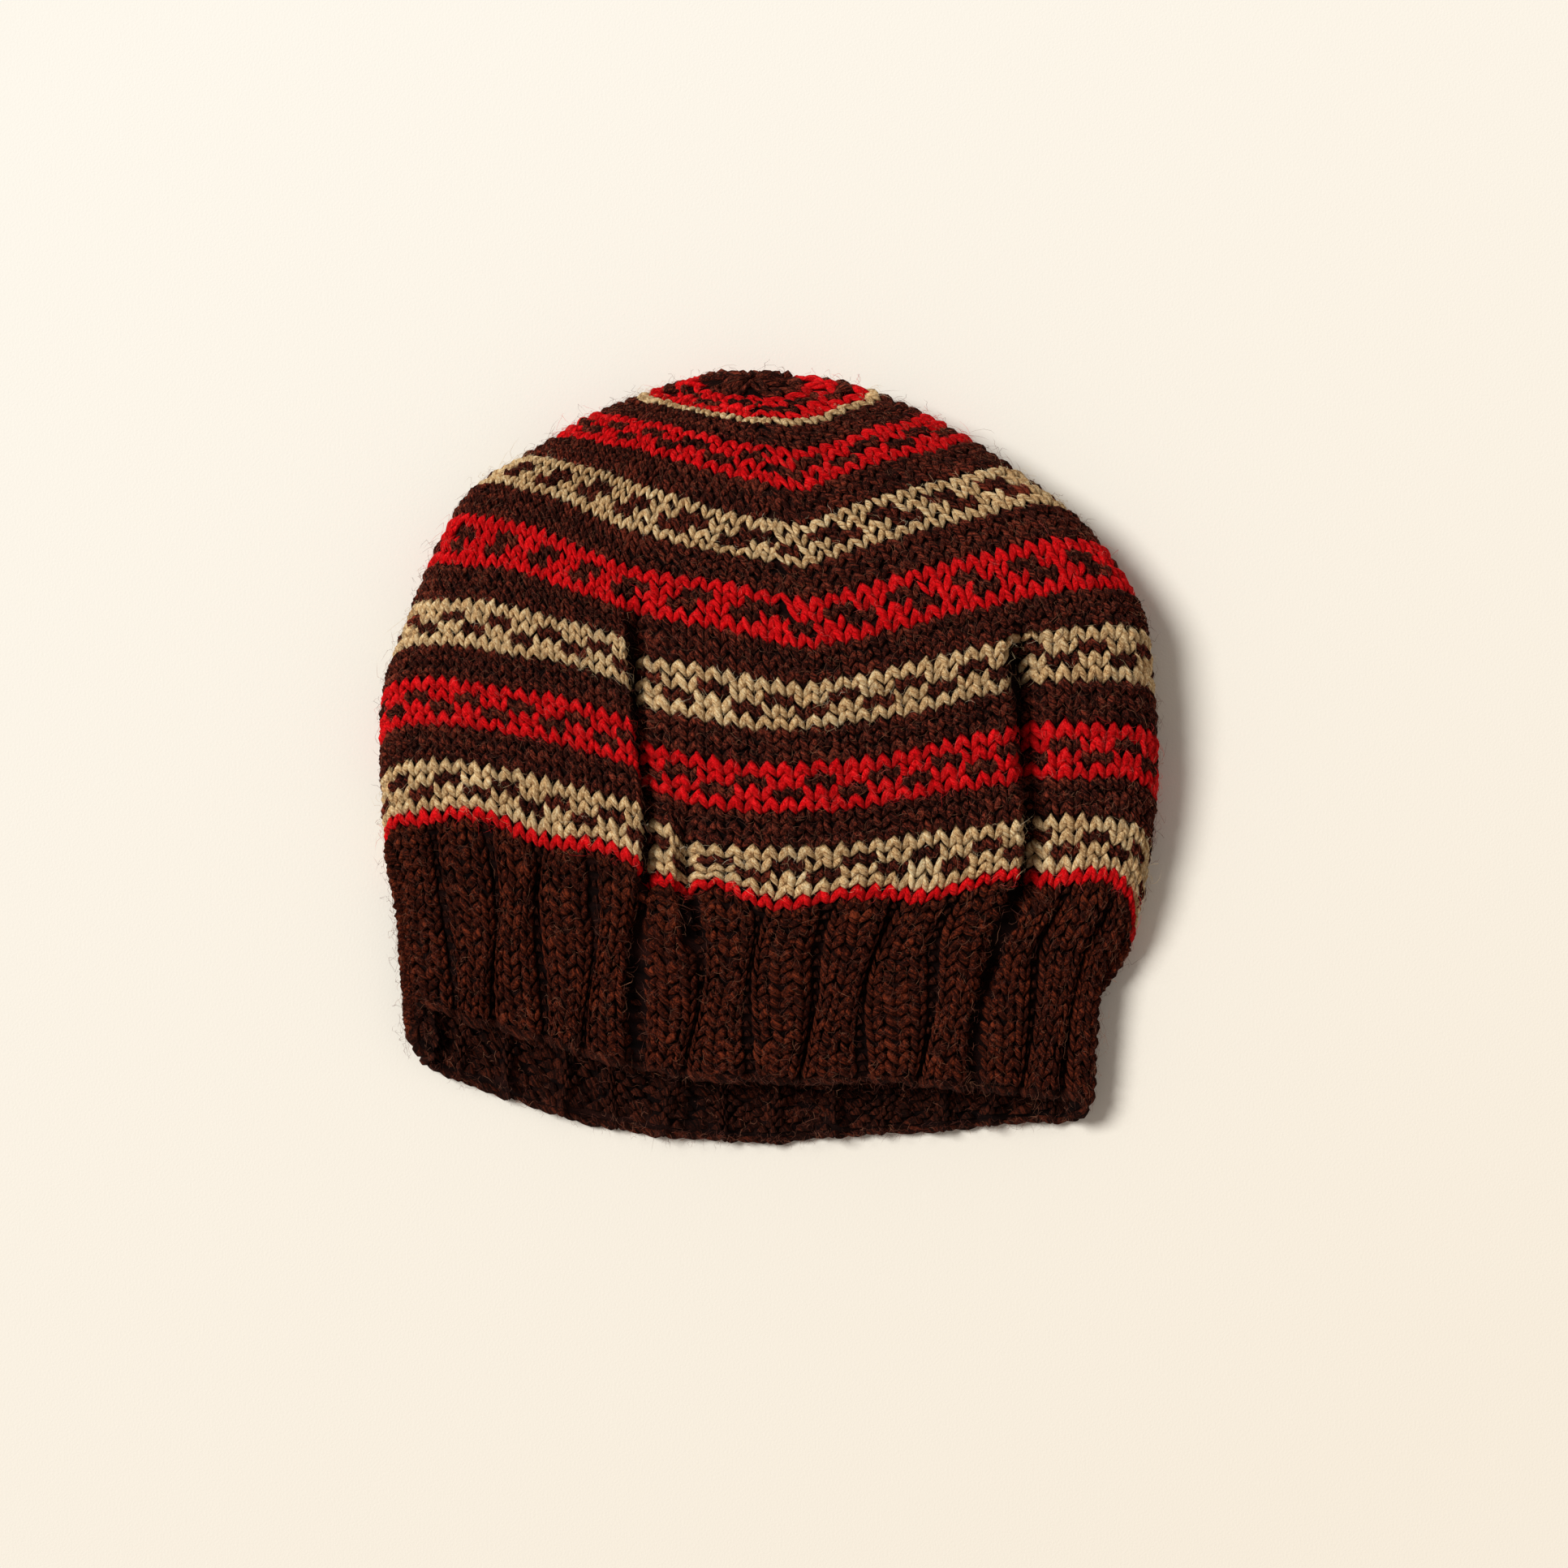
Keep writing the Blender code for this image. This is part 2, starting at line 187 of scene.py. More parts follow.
# %% The surface without its folds, and the folds on it
def flat_layers(row, angles):
    """Points of one round without its folds, for angles 0 (right) to pi (left) to 2 pi."""
    s = section(row)
    middle = (s["left"] + s["right"]) / 2
    half = (s["right"] - s["left"]) / 2
    across = np.cos(angles)
    in_front = np.sin(angles) >= 0
    from_apex = np.where(
        across < s["apex"],
        (s["apex"] - across) / (1 + s["apex"]),
        (across - s["apex"]) / (1 - s["apex"]),
    )
    from_apex = np.clip(from_apex, 0, 1)
    rise = np.where(across < s["apex"], s["rise_left"], s["rise_right"])
    front = s["front"] + rise * from_apex ** s["bend"] * (1 + s["ease"] * (1 - from_apex))
    for fold in folds:
        reach = fold["reach"] / max(half, fold["reach"])
        place = fold_place(fold, row)
        edge = place + STEP_BESIDE_FOLD * reach
        outer_side = (1 + np.tanh((across - edge) / reach * np.sign(place))) / 2
        front = front + fold["step"] * fold_strength(fold, row) * outer_side
    for at_row, at_side, row_reach, side_reach, amount in SAGS:
        away = ((row - at_row) / row_reach) ** 2 + ((across - at_side) / side_reach) ** 2
        front = front + amount * np.exp(-away) * (np.sin(angles) > 0)
    inward = (1 - np.abs(across)) / s["round"]
    under_curve = np.sqrt(1 - (1 - np.clip(inward, 0, 1)) ** 2)
    side = np.where(in_front, np.sin(angles), -under_curve)
    weight = (1 + np.tanh(s["turn"] * side) / np.tanh(s["turn"])) / 2
    drop = s["drop_left"] + (s["drop_right"] - s["drop_left"]) * (1 + across) / 2
    drop = drop + s["belly"] * (1 - across ** 2)
    follow = share_between(row, HEIGHT_FOLLOWS_FROM, HEIGHT_FOLLOWS_FULLY)
    fronts = SECTIONS[:, SECTION_COLUMNS.index("front")]
    tops = SECTIONS[:, SECTION_COLUMNS.index("top")]
    heights = monotone_curve(fronts, tops, s["front"] + follow * (front - s["front"]))
    z_front = s["edge"] + (heights - s["edge"]) * side
    z_back = s["edge"] + (s["edge"] - s["under"]) * side
    x = (middle + half * across) * WIDTH
    y = (front - (1 - weight) * drop - 0.5) * LENGTH
    z = np.where(in_front, z_front, z_back) * HEIGHT
    return np.stack([x, y, z], axis=1)


def fold_heights(row, angles):
    """How far the folds move the surface up or down along one round, in metres."""
    s = section(row)
    half = (s["right"] - s["left"]) / 2
    across = np.cos(angles)
    front = np.clip(np.sin(angles) * FOLDS_FADE_AT_SIDES, 0, 1)
    total = np.zeros_like(angles)
    for fold in folds:
        away = (across - fold_place(fold, row)) * half
        groove = np.cos(np.clip(away / fold["reach"], -1, 1) * np.pi / 2) ** 2
        shoulder = np.clip(-away / (LIP_REACHES * fold["reach"]), 0, 1)
        lip = np.sin(shoulder * np.pi) ** 2
        total += front * fold_strength(fold, row) * (fold["lip"] * lip - fold["depth"] * groove)
    return total * HEIGHT


print("deepest fold, mm:", round(fold_heights(5, np.linspace(0, np.pi, 500)).min() * 1000, 1))

# %% [markdown]
# ## A net that finds any place on the fabric
#
# Thousands of stitches need their place, so the surface is worked out once on a fine net
# of rounds and stitches. A stitch is then placed by reading the net between its knots.
# Along a round the stitches are spaced as the fabric is: evenly from the right side to
# the right fold, from there to the left fold, and so on, with little of the fabric lost
# down in the folds.
#
# At the folds the cloth on the left laps over the cloth on the right. The laps are worked
# in stitches from the fold: a raised lip, a steep side that goes down under it, and the
# slow way back up. Lengths of a lap are in metres.

# %% Where the cloth laps over itself
SMALL_CREASE_STITCH = 63
OVERLAP_COLUMNS = (
    "stitch", "first", "full_from", "full_to", "last",
    "shift", "under", "rise", "depth", "drop", "hitch",
)
OVERLAPS = (
    (LEFT_FOLD_STITCH, -4, 0, 19, 23, -0.0008, 0.0046, 0.0022, 0.0115, 0.0030, 0.0),
    (SMALL_CREASE_STITCH, -6, -2, 4, 9, 0.0003, 0.0030, 0.0008, 0.0070, 0.0014, 0.0024),
    (RIGHT_FOLD_STITCH, -3, 0, 16, 20, -0.0004, 0.0036, 0.0018, 0.0135, -0.0016, 0.0),
)
LIP_STITCH = 0.5
DEEPEST_STITCH = -0.9
LIP_FADES = 5.0
GAP_STITCHES = 1.3
FAR_SIDE_FADES = 4.5
BACK_UP_SHARES = (0.7, 0.3)
HITCH_FADES = 3.0
GROOVE_FADES = 5.0
GROOVE_GONE = 3
overlaps = [dict(zip(OVERLAP_COLUMNS, line)) for line in OVERLAPS]


def lap_over(row, places, points, groove):
    """Turn the folds into sharp laps: a raised lip over a deep narrow gap."""
    kept = np.ones_like(places)
    for lap in overlaps:
        start = smooth((row - lap["first"]) / (lap["full_from"] - lap["first"]))
        end = smooth((lap["last"] - row) / (lap["last"] - lap["full_to"]))
        strength = float(start * end)
        s = (places - lap["stitch"] + STITCHES / 2) % STITCHES - STITCHES / 2
        on_lip = np.exp(-np.clip(s - LIP_STITCH, 0, None) / LIP_FADES)
        down = smooth((LIP_STITCH - s) / (LIP_STITCH - DEEPEST_STITCH))
        beyond = DEEPEST_STITCH - s
        back_up = BACK_UP_SHARES[0] * smooth(beyond / GAP_STITCHES)
        back_up = back_up + BACK_UP_SHARES[1] * smooth(beyond / FAR_SIDE_FADES)
        far = np.exp(-np.clip(beyond, 0, None) / LIP_FADES)
        near = np.exp(-np.abs(s) / GROOVE_FADES)
        points[:, 0] += strength * (lap["shift"] * on_lip * (1 - down) - lap["under"] * far * down)
        hitched_up = np.clip(1 - (s - LIP_STITCH) / HITCH_FADES, 0, 1) * (1 - down)
        points[:, 1] += strength * (lap["hitch"] * hitched_up - lap["drop"] * far * down)
        raised = lap["rise"] * on_lip ** 2 * (1 - down)
        points[:, 2] += strength * (raised - lap["depth"] * down * (1 - back_up))
        kept = kept * (1 - strength * np.clip(near * GROOVE_GONE, 0, 1))
    points[:, 2] += groove * kept
    return points


print(len(overlaps), "laps")

# %% Space the stitches along a round
NET_PER_ROW = 4
NET_PER_STITCH = 4
FINE_ANGLES = 1440
FOLD_SHARE_IN_SPACING = 0.25
BESIDE_TIP = 0.4


def angles_for(row, places):
    """Angle of each stitch place on a round."""
    row = min(row, TIP_ROW - BESIDE_TIP)
    fine = np.linspace(0, 2 * np.pi, FINE_ANGLES + 1)
    points = flat_layers(row, fine)
    points[:, 2] += FOLD_SHARE_IN_SPACING * fold_heights(row, fine)
    spaces = np.linalg.norm(np.diff(points, axis=0), axis=1)
    lengths = np.concatenate([[0], np.cumsum(spaces)])
    anchors = (
        0.0,
        np.arccos(fold_place(folds[2], row)),
        np.arccos(fold_place(folds[0], row)),
        np.pi,
        2 * np.pi,
    )
    numbers = (
        EDGE_RIGHT_STITCH,
        RIGHT_FOLD_STITCH,
        LEFT_FOLD_STITCH,
        EDGE_LEFT_STITCH,
        EDGE_RIGHT_STITCH + STITCHES,
    )
    anchor_lengths = np.interp(anchors, fine, lengths)
    from_right = (places - EDGE_RIGHT_STITCH) % STITCHES + EDGE_RIGHT_STITCH
    return np.interp(np.interp(from_right, numbers, anchor_lengths), lengths, fine)


some_angles = np.degrees(angles_for(0, np.array([31, 42, 56, 66])))
print("places 31, 42, 56 and 66 of round 0 are at", np.round(some_angles), "degrees")

# %% Build the net
STEEPEST = 0.4
NEARLY_LEVEL = 1e-5
FACING_GAIN = 2
FACING_OFFSET = 0.6
UPRIGHT_FROM_ROW = 12
UPRIGHT_OVER_ROWS = 8
net_rows = np.arange(RIM_ROW, TIP_ROW - BESIDE_TIP + 0.001, 1 / NET_PER_ROW)
net_places = np.arange(0, STITCHES, 1 / NET_PER_STITCH)
net = np.zeros((len(net_rows), len(net_places), 3))
for i, net_row in enumerate(net_rows):
    net_angles = angles_for(net_row, net_places)
    groove = fold_heights(net_row, net_angles)
    net[i] = lap_over(net_row, net_places, flat_layers(net_row, net_angles), groove)
net_low = net.reshape(-1, 3).min(axis=0)
net_high = net.reshape(-1, 3).max(axis=0)
net_shift = (np.array(cad_box[0]) + np.array(cad_box[1])) / 2 - (net_low + net_high) / 2
net_shift[2] = cad_box[0][2] - net_low[2]
net += net_shift
along = np.gradient(net, axis=0)
around = (np.roll(net, -1, axis=1) - np.roll(net, 1, axis=1)) / 2
net_normals = np.cross(along, around)
net_normals /= np.linalg.norm(net_normals, axis=2)[:, :, None] + 1e-12
across_step = np.where(np.abs(around[:, :, 0]) < NEARLY_LEVEL, NEARLY_LEVEL, around[:, :, 0])
slope = np.clip(-along[:, :, 0] / across_step, -STEEPEST, STEEPEST)
slope = slope * np.clip(net_normals[:, :, 2] * FACING_GAIN - FACING_OFFSET, 0, 1)
# Places a round that a wale has to move sideways to stand upright in the photo's view
net_upright = slope * smooth((net_rows[:, None] - UPRIGHT_FROM_ROW) / UPRIGHT_OVER_ROWS)
print("net of", net.shape[:2], "moved by", np.round(net_shift * 1000, 2), "mm")


# %% Read the net between its knots
def on_fabric(rows, places, heights):
    """Points at a height over the fabric's face, for arrays of rounds and stitch places."""
    r = (rows - RIM_ROW) * NET_PER_ROW
    i = np.clip(np.floor(r).astype(int), 0, len(net_rows) - 2)
    fr = (r - i)[..., None]
    c = (places % STITCHES) * NET_PER_STITCH
    j = np.floor(c).astype(int)
    fc = (c - j)[..., None]
    j = j % len(net_places)
    k = (j + 1) % len(net_places)
    lower = net[i, j] * (1 - fc) + net[i, k] * fc
    upper = net[i + 1, j] * (1 - fc) + net[i + 1, k] * fc
    fr_inside = np.clip(fr, 0, 1)
    normal = (net_normals[i, j] * (1 - fc) + net_normals[i, k] * fc) * (1 - fr_inside)
    normal = normal + (net_normals[i + 1, j] * (1 - fc) + net_normals[i + 1, k] * fc) * fr_inside
    normal /= np.linalg.norm(normal, axis=-1)[..., None] + 1e-12
    return lower * (1 - fr) + upper * fr + normal * heights[..., None]


def nearest_knot(values, rows, places):
    """The value at the net's knot nearest to each round and stitch place."""
    i = np.clip(np.round((rows - RIM_ROW) * NET_PER_ROW).astype(int), 0, len(net_rows) - 1)
    j = np.round((places % STITCHES) * NET_PER_STITCH).astype(int) % len(net_places)
    return values[i, j]


middle_of_front = on_fabric(np.array([10.0]), np.array([56.0]), np.array([0.0]))
print("middle of the front, mm:", np.round(middle_of_front * 1000, 1))

# %% [markdown]
# ## Wales and decreases
#
# A wale is a column of stitches. Up to round 23 there are 112 of them. The crown is
# closed by taking away eight stitches at a time, two in each quarter, until eight are
# left at the tip. The wales of a quarter stay side by side and run straight up its
# middle, and the outer ones run into the line between two quarters and end there.

# %% Stitches of each round
QUARTERS = 4
FIRST_QUARTER_STARTS = -0.5
DECREASE_ROWS = (24, 28, 31, 33, 35, 37, 39, 41, 42, 44, 45, 47, 48)
STITCHES_PER_DECREASE = 8
LAST_WALE_TO_LINE = 0.35

# Rounds and the wales that a quarter has there; between two of them it narrows evenly
wales_at = [(22, 28)]
for first, end in zip(DECREASE_ROWS, DECREASE_ROWS[1:] + (51,)):
    wales_at.append(((first + end - 1) / 2, wales_at[-1][1] - 2))


def stitches_in(row):
    """How many stitches a round has."""
    return STITCHES - STITCHES_PER_DECREASE * sum(row >= first for first in DECREASE_ROWS)


def place_of_wale(rows, quarter, offset, sideways):
    """Place of a point sideways of a wale that is offset stitches from its quarter's middle."""
    knots, counts = zip(*wales_at)
    pitch = STITCHES / QUARTERS / np.interp(rows, knots, counts)
    middle = FIRST_QUARTER_STARTS + (quarter + 0.5) * STITCHES / QUARTERS
    reach = STITCHES / QUARTERS / 2 - LAST_WALE_TO_LINE
    return middle + np.clip(offset * pitch, -reach, reach) + sideways * pitch


def round_of_stitches(row):
    """(row, quarter, offset, number) of each stitch in a round."""
    per_quarter = stitches_in(row) // QUARTERS
    found = []
    for quarter in range(QUARTERS):
        for j in range(per_quarter):
            found.append((row, quarter, j - (per_quarter - 1) / 2, quarter * per_quarter + j))
    return found


print("stitches in rounds 20, 30, 40, 49:", [stitches_in(r) for r in (20, 30, 40, 49)])

# %% [markdown]
# ## The chart
#
# The stripes are a chart of four stitches that repeats round the cap, as a knitter would
# read it: one line for each round from the red line over the band to the tip. b is the
# brown ground, r is red and n is the natural beige. Each band of colour is a solid
# round, two rounds of small checks and a solid round again. Near the tip there is a
# single beige round.

# %% Chart of the stripes, from the band up
CHART = (
    ["rrrr"]
    + ["nnnn", "nnbb", "bbnn", "nnnn"]
    + ["bbbb"] * 3
    + ["rrrr", "bbrr", "rrbb", "rrrr"]
    + ["bbbb"] * 3
    + ["nnnn", "nnbb", "bbnn", "nnnn"]
    + ["bbbb"] * 3
    + ["rrrr", "rrbb", "bbrr", "rrrr"]
    + ["bbbb"] * 3
    + ["nnnn", "nnbb", "bbnn", "nnnn"]
    + ["bbbb"] * 3
    + ["rrrr", "rrbb", "bbrr", "rrrr"]
    + ["bbbb"] * 3
    + ["nnnn"]
    + ["rrrr", "rrbb", "bbrr", "rrrr"]
    + ["bbbb"] * 2
)
BODY_ENDS = 20

yarns = {"brown_body": [], "brown_crown": [], "red": [], "beige": []}
for chart_row, letters in enumerate(CHART):
    for stitch in round_of_stitches(chart_row):
        letter = letters[stitch[3] % len(letters)]
        ground = "brown_body" if chart_row <= BODY_ENDS else "brown_crown"
        yarns[{"b": ground, "r": "red", "n": "beige"}[letter]].append(stitch[:3])
print("stitches:", {name: len(found) for name, found in yarns.items()})

# %% [markdown]
# ## One stitch
#
# From the front, a knitted stitch is a V: two legs of yarn that come up together out of
# the stitch below, swell, spread and dive under the stitch above. A leg starts as a
# sphere with few faces. Its rings are moved along a short bent path and made wider or
# narrower, which keeps it closed. A purl bump and a loose hair start the same way.

# %% Bend a small sphere into a piece of yarn
COPY_SPACING = 4.0


def bent_sphere(bm, path, widths, thicknesses, sides, rings, width_axis=0):
    """A closed piece of yarn along a path of (sideways, along the wale, height) points."""
    bm.loops.layers.uv.verify()
    made = bmesh.ops.create_uvsphere(
        bm, u_segments=sides, v_segments=rings, radius=1, calc_uvs=True,
    )
    knots = np.linspace(0, 1, len(path))
    route = np.array(path)
    for vert in made["verts"]:
        t = math.acos(max(-1, min(1, -vert.co.z))) / math.pi
        point = [np.interp(t, knots, route[:, axis]) for axis in range(3)]
        point[width_axis] += vert.co.x * np.interp(t, knots, widths)
        point[2] += vert.co.y * np.interp(t, knots, thicknesses)
        vert.co = point


def knit_stitch(spread, yarn_width):
    """The V of one knitted stitch: sideways in stitches, along in rounds, up in metres."""
    bm = bmesh.new()
    for side in (1, -1):
        path = [
            (side * 0.03 * spread, -0.76, -0.0021),
            (side * 0.11 * spread, -0.46, -0.0011),
            (side * 0.22 * spread, -0.12, -0.0006),
            (side * 0.32 * spread, 0.22, -0.0006),
            (side * 0.40 * spread, 0.52, -0.0011),
            (side * 0.44 * spread, 0.80, -0.0021),
        ]
        widths = [yarn_width * share for share in (0.52, 0.81, 1.0, 1.0, 0.85, 0.56)]
        thicknesses = (0.0006, 0.0011, 0.0014, 0.0014, 0.0011, 0.0006)
        bent_sphere(bm, path, widths, thicknesses, sides=5, rings=6)
    bmesh.ops.recalc_face_normals(bm, faces=bm.faces)
    return bm


def as_mesh(name, bm):
    """Turn a bmesh into a smooth mesh."""
    mesh = bpy.data.meshes.new(name)
    bm.to_mesh(mesh)
    bm.free()
    mesh.shade_smooth()
    return mesh


stitch_mesh = as_mesh("one_stitch", knit_stitch(1.0, 0.25))
rib_stitch_mesh = as_mesh("one_rib_stitch", knit_stitch(0.95, 0.25))
print("one stitch has", len(stitch_mesh.polygons), "faces")


# %% Repeat it and move the vertices of the copies
def copies_of(mesh, count):
    """A mesh with copies in a line along X, made by an Array modifier."""
    pattern = bpy.data.objects.new("pattern", mesh)
    bpy.context.scene.collection.objects.link(pattern)
    array = pattern.modifiers.new("copies", "ARRAY")
    array.use_relative_offset = False
    array.use_constant_offset = True
    array.constant_offset_displace = (COPY_SPACING, 0, 0)
    array.count = count
    graph = bpy.context.evaluated_depsgraph_get()
    line = bpy.data.meshes.new_from_object(pattern.evaluated_get(graph))
    bpy.data.objects.remove(pattern)
    return line


def coordinates_of_copies(mesh, count):
    """Vertex coordinates of each copy, measured from the copy's own middle."""
    flat = np.zeros(len(mesh.vertices) * 3, dtype=np.float32)
    mesh.vertices.foreach_get("co", flat)
    local = flat.reshape(count, -1, 3).astype(float)
    local[:, :, 0] -= (np.arange(count) * COPY_SPACING)[:, None]
    return local


PRESSED_FLAT = 0.1


def move_vertices(mesh, points):
    """Give every vertex its new place, pressed flat where it would go into the floor."""
    low = points[..., 2] - cad_box[0][2]
    points[..., 2] = np.where(low < 0, PRESSED_FLAT * low, low) + cad_box[0][2]
    mesh.vertices.foreach_set("co", points.reshape(-1).astype(np.float32))
    mesh.update()


def point_attribute(mesh, name, values):
    """Store one value for each vertex."""
    attribute = mesh.attributes.new(name, "FLOAT", "POINT")
    attribute.data.foreach_set("value", np.asarray(values, dtype=np.float32).reshape(-1))


print("copies stand", COPY_SPACING, "apart before they are laid")

# %% Show a piece
collection = bpy.data.collections.new("knitted_wool_cap_looks")
bpy.context.scene.collection.children.link(collection)


def show(name, mesh, material, slot, *nodes):
    """Show a mesh as a piece that stands for the named nodes of the solid model."""
    mesh.name = name
    mesh.materials.clear()
    mesh.materials.append(material)
    piece = bpy.data.objects.new(name, mesh)
    collection.objects.link(piece)
    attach(piece, "root")
    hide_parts(*nodes)
    triangles = sum(len(face.vertices) - 2 for face in mesh.polygons)
    print(name, triangles, "triangles")
    return piece


print("pieces go into the collection", collection.name)

# %% [markdown]
# ## Hand-knitted unevenness
#
# No two stitches are alike. Each one gets a little sideways shift, lean, size and height
# of its own, and whole rounds wander up and down a bit. The ribs waver sideways, and the
# red line over them has low humps. All numbers come from seeded generators, so the cap is
# the same each time.

# %% Unevenness of the fabric
SEED = 80
random = np.random.RandomState(SEED)
WANDER_WAVES = 10
WANDER_ROWS = 0.14
WANDER_STITCHES = 0.10
WANDER_HEIGHT = 0.00035
RIB_WAVES = 13
RIB_WAVERS = 0.34
WAVER_FADE_ROWS = 4
WAVER_TURN = 0.35
RED_LINE_HUMPS = 0.34
HUMP_ROWS = 2.5
HUMP_PHASE = 1.0
wave_around = random.randint(2, 16, WANDER_WAVES)
wave_along = random.uniform(-0.5, 0.5, WANDER_WAVES)
wave_phase = random.uniform(0, 2 * np.pi, (3, WANDER_WAVES))


def wander(rows, places):
    """Slow unevenness of the fabric: shifts in rounds, in stitches and in height."""
    turns = places[..., None] / STITCHES * 2 * np.pi * wave_around + rows[..., None] * wave_along
    sums = [np.sin(turns + phase).sum(axis=-1) / math.sqrt(WANDER_WAVES) for phase in wave_phase]
    rib_turn = places / STITCHES * 2 * np.pi * RIB_WAVES
    fade = np.clip((JOIN_ROW - rows) / WAVER_FADE_ROWS, 0, 1)
    waver = RIB_WAVERS * fade * np.sin(rib_turn + rows * WAVER_TURN)
    humps = RED_LINE_HUMPS * np.exp(-((rows / HUMP_ROWS) ** 2)) * np.sin(rib_turn + HUMP_PHASE)
    shift_rows = WANDER_ROWS * sums[0] + humps
    return shift_rows, WANDER_STITCHES * sums[1] + waver, WANDER_HEIGHT * sums[2]


print("rounds wander by about", WANDER_ROWS, "of a round")

# %% Relief of the ribs
STITCHES_PER_RIB = 4
HALF_RIB = 2
RIB_VALLEY = 2
VALLEY_REACH = 1.4
RIB_RELIEF = 0.0030
RIB_UNEVEN = 0.5
UNEVEN_PER_RIB = 2.2
UNEVEN_PER_ROW = 0.15
RIB_FADE_ROWS = 2.0
RIB_PULL = 0.34


def ribbed(rows, places):
    """Sideways pull and sinking of the ribs: the purl wales are narrow valleys."""
    from_valley = (places - RIB_VALLEY + HALF_RIB) % STITCHES_PER_RIB - HALF_RIB
    rib_number = np.round((places - RIB_VALLEY) / STITCHES_PER_RIB)
    uneven = np.sin(rib_number * UNEVEN_PER_RIB + rows * UNEVEN_PER_ROW)
    relief = RIB_RELIEF * (1 + RIB_UNEVEN * uneven)
    fade = np.clip((JOIN_ROW - rows) / RIB_FADE_ROWS, 0, 1)
    pull = -RIB_PULL * np.sin(from_valley * np.pi / 2) * fade
    from_middle = np.clip(np.abs(from_valley) / VALLEY_REACH, 0, 1)
    sink = -relief * np.cos(from_middle * np.pi / 2) ** 2 * fade
    return pull, sink


print("valleys of the ribs, mm:", RIB_RELIEF * 1000)

# %% Lay the copies on the cap
UPRIGHT = 0.4
FULLER_FROM_ROW = 22
FULLER_OVER_ROWS = 12
SIZE_VARIES = 0.07
LEAN_VARIES = 0.07
# How much each stitch varies, and each leg besides: stitches, rounds, metres and tone
SHIFT_VARIES = (0.03, 0.02)
CLIMB_VARIES = (0.05, 0.04)
RISE_VARIES = (0.00014, 0.00012)
TONE_VARIES = (1, 0.5)


def vary(draw, spreads, count, legs):
    """A chance amount for each stitch, and one for each of its legs on top."""
    stitch_spread, leg_spread = spreads
    by_stitch = draw.normal(0, stitch_spread, (count, 1, 1))
    return by_stitch + draw.normal(0, leg_spread, (count, legs, 1))


def lay(mesh, stitches, legs, swell, seed, fuller_in_crown=0.0, uneven=1.0):
    """Lay the copies of a stitch on the cap, one at each (row, quarter, offset)."""
    draw = np.random.RandomState(seed)
    count = len(stitches)
    local = coordinates_of_copies(mesh, count).reshape(count, legs, -1, 3)
    row, quarter, offset = np.array(stitches, dtype=float).T[:, :, None, None]
    fuller = 1 + fuller_in_crown * smooth((row - FULLER_FROM_ROW) / FULLER_OVER_ROWS)
    size = swell * fuller * (1 + uneven * draw.normal(0, SIZE_VARIES, (count, legs, 1)))
    lean = uneven * draw.normal(0, LEAN_VARIES, (count, legs, 1))
    shift = uneven * vary(draw, SHIFT_VARIES, count, legs)
    sideways = local[..., 0] * size + lean * local[..., 1] + shift
    rows = row + local[..., 1] * size + uneven * vary(draw, CLIMB_VARIES, count, legs)
    rise = uneven * vary(draw, RISE_VARIES, count, legs)
    heights = local[..., 2] * (2 - size / fuller) + rise
    middle = place_of_wale(row, quarter, offset, 0.0)
    lean_in = place_of_wale(rows, quarter, offset, 0.0) - middle
    stand_up = nearest_knot(net_upright, row, middle) * (rows - row)
    places = place_of_wale(row, quarter, offset, sideways)
    places = places + lean_in * (1 - UPRIGHT) + stand_up * UPRIGHT
    drift = wander(rows, places)
    pull, sink = ribbed(rows, places)
    points = on_fabric(rows + drift[0], places + drift[1] + pull, heights + drift[2] + sink)
    move_vertices(mesh, points)
    tone = vary(draw, TONE_VARIES, count, legs)
    point_attribute(mesh, "tone", np.broadcast_to(tone, rows.shape))


print("crown stitches are turned", UPRIGHT, "of the way to upright")

# %% [markdown]
# ## Woollen yarn
#
# The wool is spun from two plies and looks matt, with darker and lighter fibres mixed
# in. The material mixes three shades of one colour by a fine noise and by the tone of
# the stitch. The plies are a wave across the yarn's own UV map, and the fibres a
# stretched noise, both as bump. The ply wave also paints the grooves between the plies a
# little darker, as painted shade. A little sheen stands for the halo of loose fibres.

# %% Yarn material
TWIST = 1.4
STREAKS_AROUND = 9.0
STREAKS_ALONG = 2.5
STREAKS_JUMP = 9.0
FLECK_SCALE = 1900.0
PLY_GROOVE_PAINTED_SHADE = 0.05
TONE_SHADE = 0.03
FLECK_SHADE = 0.5
MIDDLE_AT = 0.75
DARK_BELOW = 0.17
LIGHT_ABOVE = 0.20
PLY_RELIEF = 0.22
FLECK_RELIEF = 0.5


def node(tree, kind, **values):
    """Add a shader node and set its inputs by name or number."""
    made = tree.nodes.new(kind)
    for key, value in values.items():
        if hasattr(made, key):
            setattr(made, key, value)
        else:
            made.inputs[key.replace("_", " ")].default_value = value
    return made


def srgb(red, green, blue):
    """A colour given in the 0 to 255 steps of a screen, as linear light."""
    steps = [value / 255 for value in (red, green, blue)]
    linear = [v / 12.92 if v <= 0.04045 else ((v + 0.055) / 1.055) ** 2.4 for v in steps]
    return (*linear, 1.0)


def math_node(tree, operation, *inputs):
    """A math node whose inputs are numbers or the outputs of other nodes."""
    made = tree.nodes.new("ShaderNodeMath")
    made.operation = operation
    for socket, value in zip(made.inputs, inputs):
        if isinstance(value, (int, float)):
            socket.default_value = value
        else:
            tree.links.new(value, socket)
    return made.outputs["Value"]


